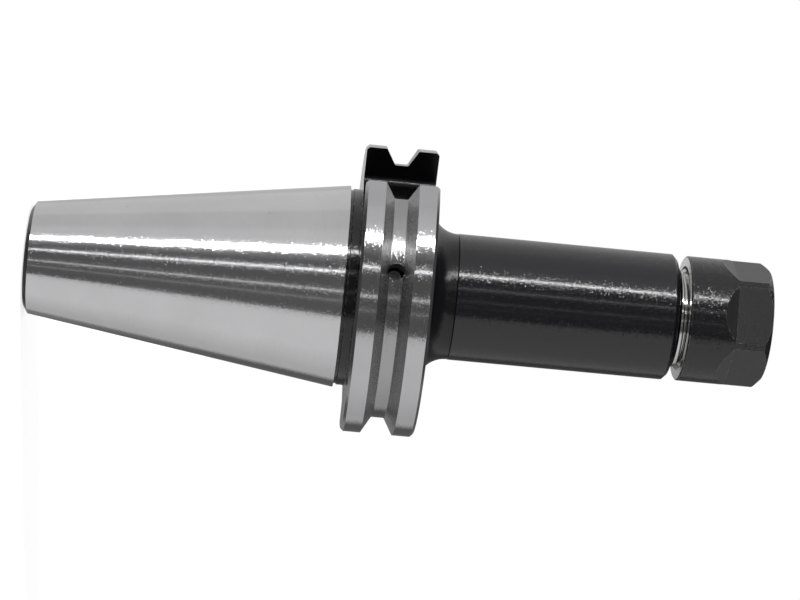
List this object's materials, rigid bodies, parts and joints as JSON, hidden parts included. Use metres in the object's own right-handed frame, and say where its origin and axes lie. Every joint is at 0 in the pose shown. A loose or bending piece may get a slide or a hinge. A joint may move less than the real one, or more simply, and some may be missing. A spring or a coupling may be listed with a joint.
{
  "type": "collet chuck holder",
  "caption": "Steep-taper tool holder with a gripper flange, a long slim neck and a hexagon clamping nut that draws a slotted spring collet into its seat.",
  "frame": {"origin": "centre of the face at the small end of the taper, on which the holder stands", "axes": "+Z along the tool axis towards the clamping nut; the flange's drive slots lie on -X and +X and its orientation notch on +Y"},
  "size_m": [0.0614, 0.0636, 0.1633],
  "materials": {
    "holder_steel": "case-hardened steel, taper and flange ground bright, neck black oxide",
    "nut_steel": "hardened steel, satin black oxide",
    "collet_steel": "spring steel, fine ground",
    "screw_steel": "hardened steel, black oxide"
  },
  "bodies": {
    "holder": {"holder_body": "holder_steel", "groove_plug_1": "screw_steel", "flange_plug_1": "screw_steel", "groove_plug_2": "screw_steel", "flange_plug_2": "screw_steel"},
    "collet": {"collet": "collet_steel"},
    "nut": {"clamping_nut": "nut_steel"},
    "stop": {"stop_screw": "screw_steel"}
  },
  "joints": [
    {"name": "collet_travel", "type": "slide", "parent": "holder", "child": "collet", "axis": [0, 0, 1], "range_m": [0, 0.0075]},
    {"name": "nut_turn", "type": "hinge", "parent": "collet", "child": "nut", "pos_m": [0, 0, 0.15401], "axis": [0, 0, 1], "range_deg": [0, 1800]},
    {"name": "stop_travel", "type": "slide", "parent": "holder", "child": "stop", "axis": [0, 0, 1], "range_m": [-0.016, 0.002]}
  ],
  "couplings": [
    {"joint": "collet_travel", "follows": "nut_turn", "m_per_rad": 0.00023873}
  ]
}
